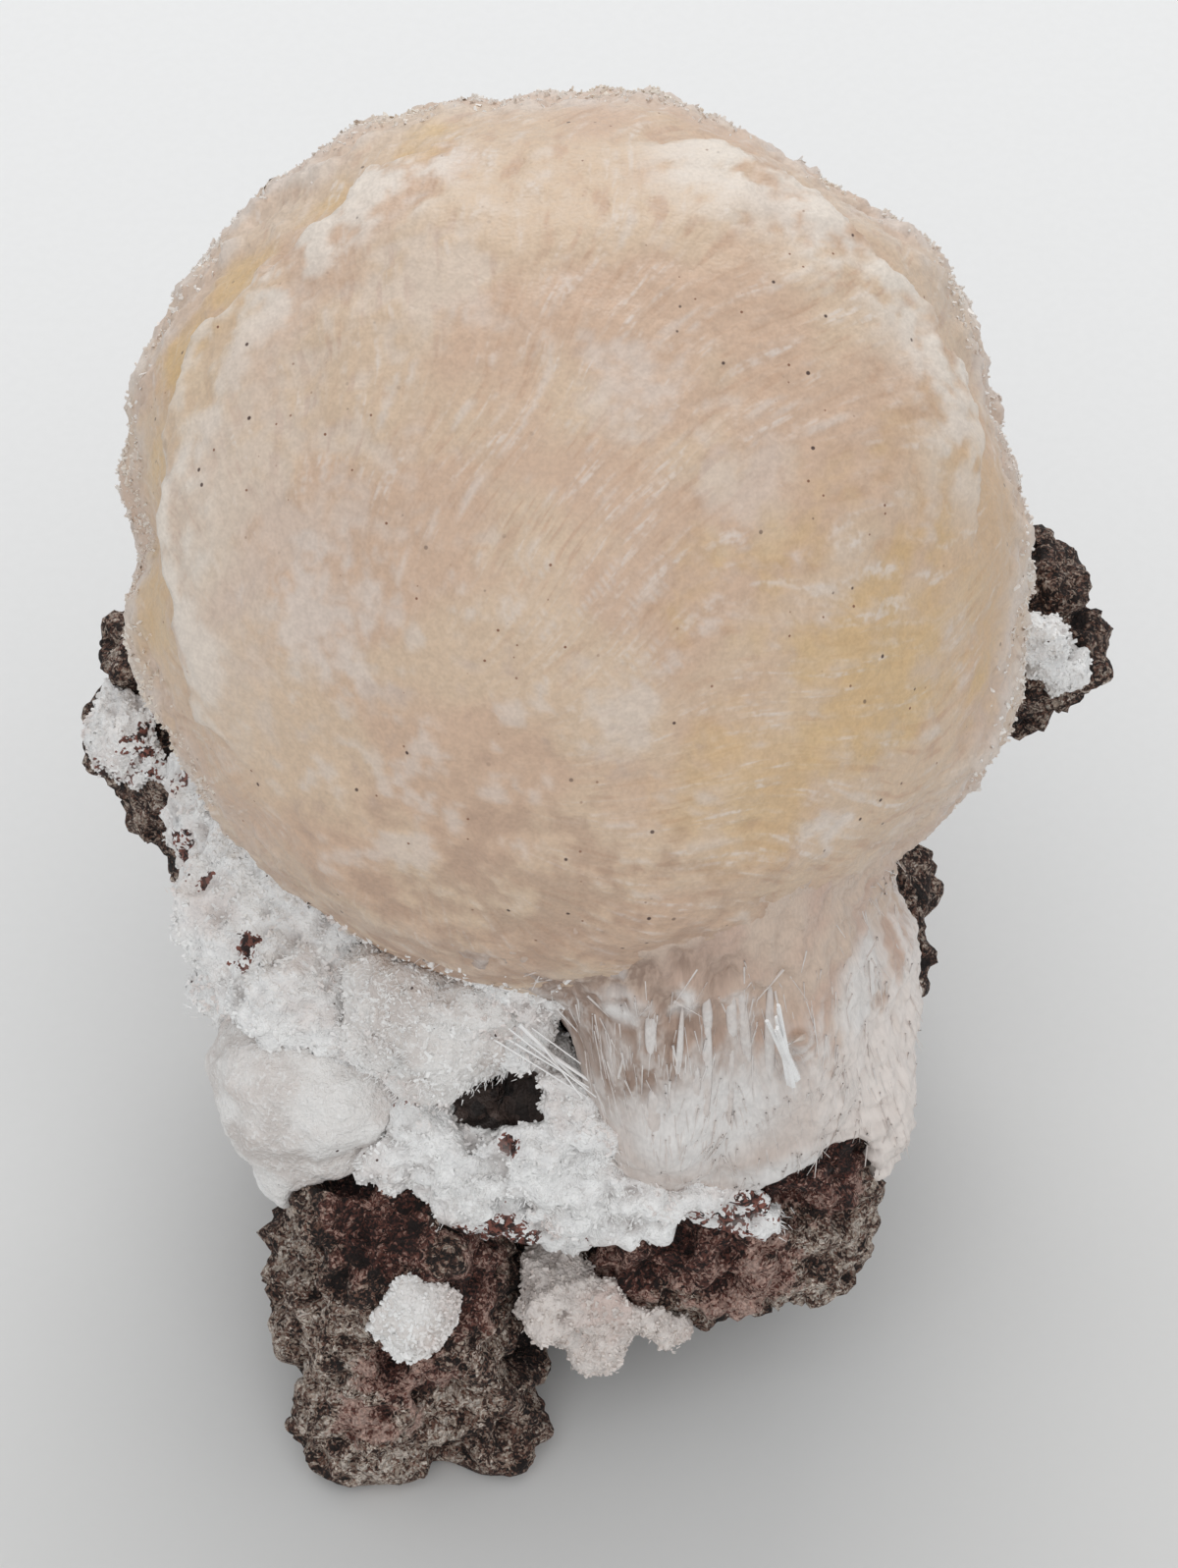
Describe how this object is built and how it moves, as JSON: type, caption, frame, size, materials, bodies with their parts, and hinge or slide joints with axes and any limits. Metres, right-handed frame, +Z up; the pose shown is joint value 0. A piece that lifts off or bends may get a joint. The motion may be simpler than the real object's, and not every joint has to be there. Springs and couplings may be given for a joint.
{
  "type": "thomsonite specimen",
  "caption": "Natural mineral specimen: a large ball of radiating pinkish cream fibres seated on dark vesicular rock, with white crystal crusts and a fan of pale fibres.",
  "frame": {"origin": "centre of the specimen's bounding box, at the surface that it stands on", "axes": "+Z up, -Y towards the side with the fibre fan and the foot of rock, +X to the right seen from that side"},
  "size_m": [0.0492, 0.0472, 0.0628],
  "materials": {
    "thomsonite_pink": "waxy, finely granular",
    "basalt": "matt, rough and vesicular",
    "fibre_pale": "silky, fibrous",
    "zeolite_white": "matt to silky, chalky white"
  },
  "bodies": {
    "root": {"thomsonite_ball": "thomsonite_pink", "basalt_matrix": "basalt", "fibre_fan": "fibre_pale", "white_crust": "zeolite_white", "left_spherule": "zeolite_white", "middle_spherule": "zeolite_white", "lower_spherule": "zeolite_white", "pocket_crust": "zeolite_white", "left_knob_crust": "zeolite_white", "right_knob_crust": "zeolite_white"}
  },
  "joints": []
}
